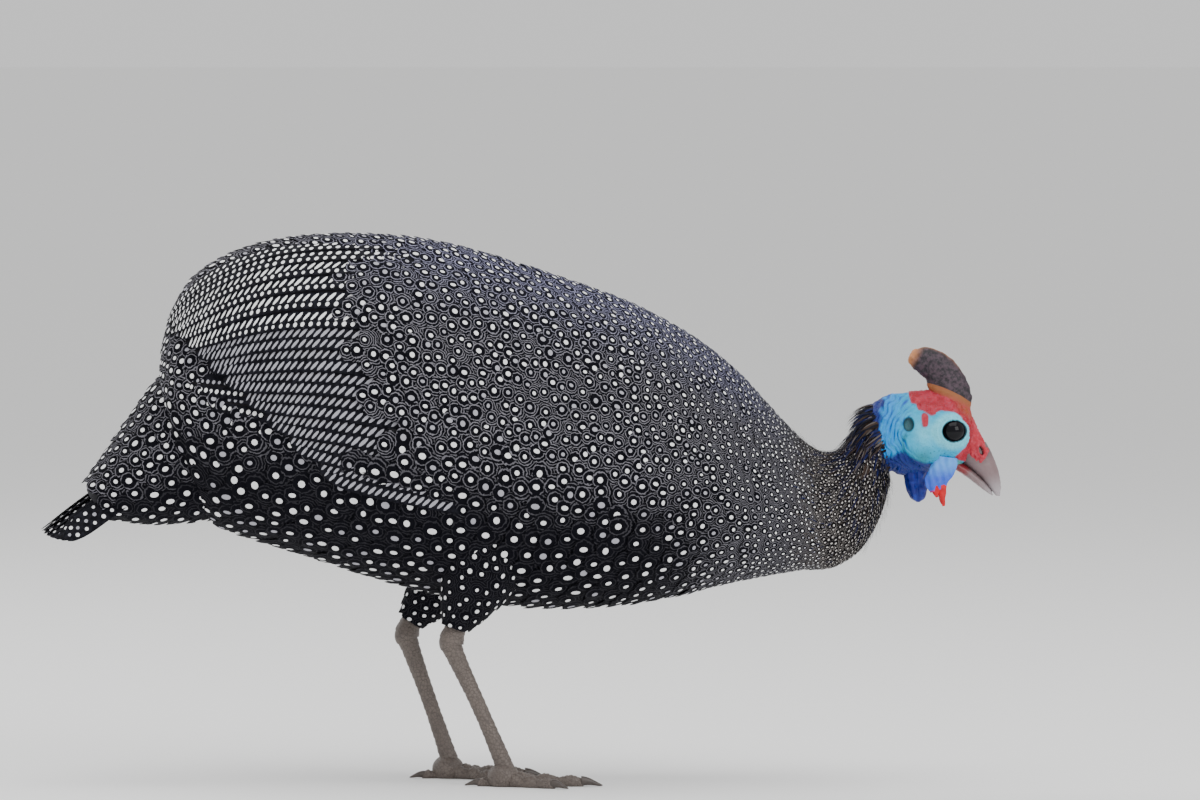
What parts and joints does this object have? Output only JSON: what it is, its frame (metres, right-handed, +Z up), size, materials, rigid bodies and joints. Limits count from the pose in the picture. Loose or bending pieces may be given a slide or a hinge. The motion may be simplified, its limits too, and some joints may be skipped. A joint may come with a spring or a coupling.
{
  "type": "guinea fowl",
  "caption": "Life-size helmeted guinea fowl, foraging with its head low: spotted dark plumage, bare blue head, bony casque, blue wattles, drooping tail.",
  "frame": {"origin": "on the floor, under the middle of the bird's bounding box", "axes": "+X the way the bird faces, +Y its left side, +Z up"},
  "size_m": [0.5569, 0.1658, 0.3166],
  "materials": {
    "plumage": "matte",
    "quills": "satin",
    "neck_down": "matte",
    "blue_skin": "satin",
    "wattle_skin": "satin",
    "red_skin": "satin",
    "casque_horn": "matte",
    "bill_horn": "satin",
    "eye": "gloss",
    "leg_scales": "satin",
    "claw_horn": "satin"
  },
  "bodies": {
    "root": {"torso": "plumage", "neck": "neck_down", "head": "blue_skin", "casque": "casque_horn", "cere": "red_skin", "bill_upper": "bill_horn", "bill_lower": "bill_horn", "throat_fold": "wattle_skin", "eye_left": "eye", "eye_right": "eye", "wattle_left": "wattle_skin", "wattle_right": "wattle_skin", "wing_left": "quills", "wing_right": "quills", "tail": "quills", "thigh_left": "plumage", "thigh_right": "plumage", "shank_left": "leg_scales", "shank_right": "leg_scales", "toe_left_middle": "leg_scales", "toe_left_inner": "leg_scales", "toe_left_outer": "leg_scales", "toe_left_hind": "leg_scales", "toe_right_middle": "leg_scales", "toe_right_inner": "leg_scales", "toe_right_outer": "leg_scales", "toe_right_hind": "leg_scales", "claw_left_middle": "claw_horn", "claw_left_inner": "claw_horn", "claw_left_outer": "claw_horn", "claw_left_hind": "claw_horn", "claw_right_middle": "claw_horn", "claw_right_inner": "claw_horn", "claw_right_outer": "claw_horn", "claw_right_hind": "claw_horn"}
  },
  "joints": []
}
